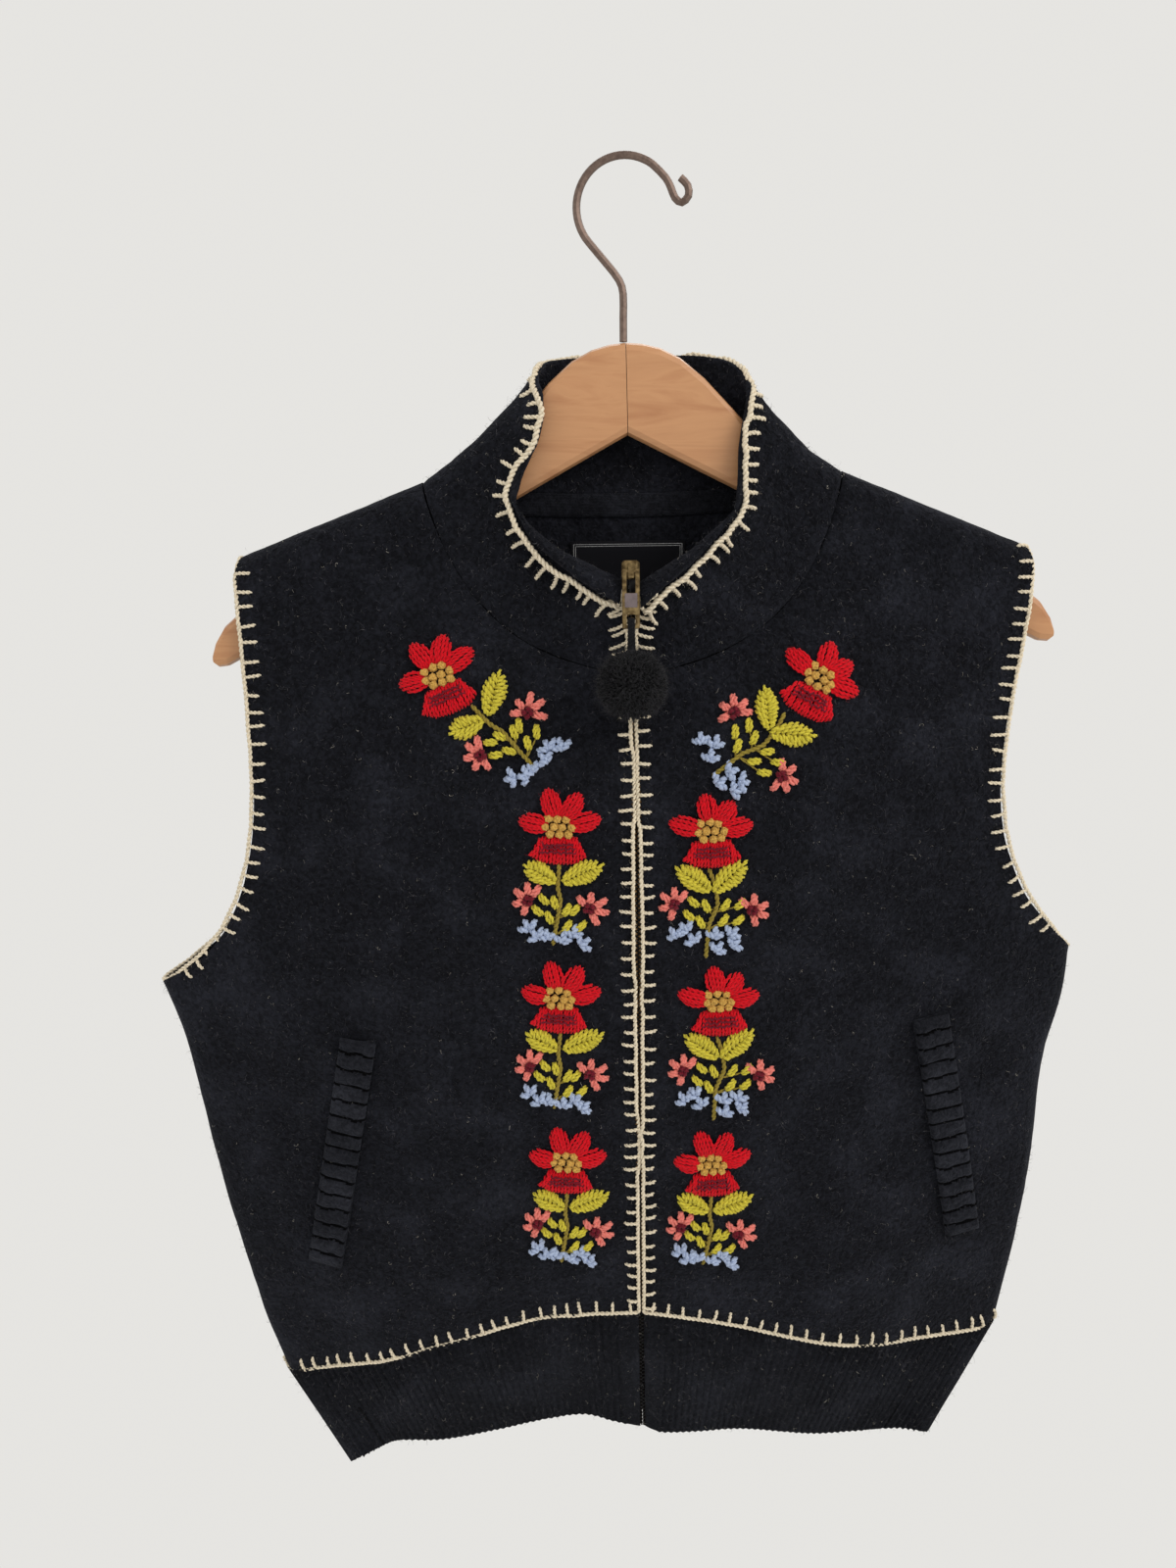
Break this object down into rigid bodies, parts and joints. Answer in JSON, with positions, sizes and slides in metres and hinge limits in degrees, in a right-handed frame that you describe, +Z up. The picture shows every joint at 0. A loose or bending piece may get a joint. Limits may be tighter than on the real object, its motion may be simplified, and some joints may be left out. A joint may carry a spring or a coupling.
{
  "type": "sleeveless vest on a hanger",
  "caption": "Black boiled-wool zip vest with funnel collar, wool-embroidered sprigs, blanket-stitched edges and ribbed hem, hung on a flat wooden hanger.",
  "frame": {"origin": "inside of the hook's top, where a rail bears", "axes": "+Z up, -Y out of the fronts, +X to the viewer's right"},
  "size_m": [0.503, 0.087, 0.7358],
  "materials": {
    "black_wool": "felted",
    "black_rib": "ribbed knit",
    "zip_tape": "woven tape with metal teeth",
    "antique_brass": "antique",
    "black_yarn": "fuzzy yarn",
    "red_wool": "embroidery wool",
    "label_satin": "satin weave",
    "beech": "satin varnish",
    "bronze_wire": "bronze plated"
  },
  "bodies": {
    "vest": {"front_left": "black_wool", "front_right": "black_wool", "back": "black_wool", "collar": "black_wool", "band_left": "black_rib", "band_right": "black_rib", "band_back": "black_rib", "pocket_welt_left": "black_rib", "pocket_welt_right": "black_rib", "zip_left": "zip_tape", "zip_right": "zip_tape", "zip_slider": "antique_brass", "bloom_left_1": "red_wool", "bloom_left_2": "red_wool", "bloom_left_3": "red_wool", "bloom_left_4": "red_wool", "bloom_right_1": "red_wool", "bloom_right_2": "red_wool", "bloom_right_3": "red_wool", "bloom_right_4": "red_wool", "neck_label": "label_satin", "hanger_wood_left": "beech", "hanger_wood_right": "beech", "hanger_hook": "bronze_wire"},
    "pull": {"zip_pull": "antique_brass", "pull_cord": "black_yarn", "pompom": "black_yarn"}
  },
  "joints": [
    {"name": "pull_swing", "type": "hinge", "parent": "vest", "child": "pull", "pos_m": [0.00077, -0.03673, -0.19407], "axis": [-1, 0, 0], "range_deg": [0, 150]}
  ]
}
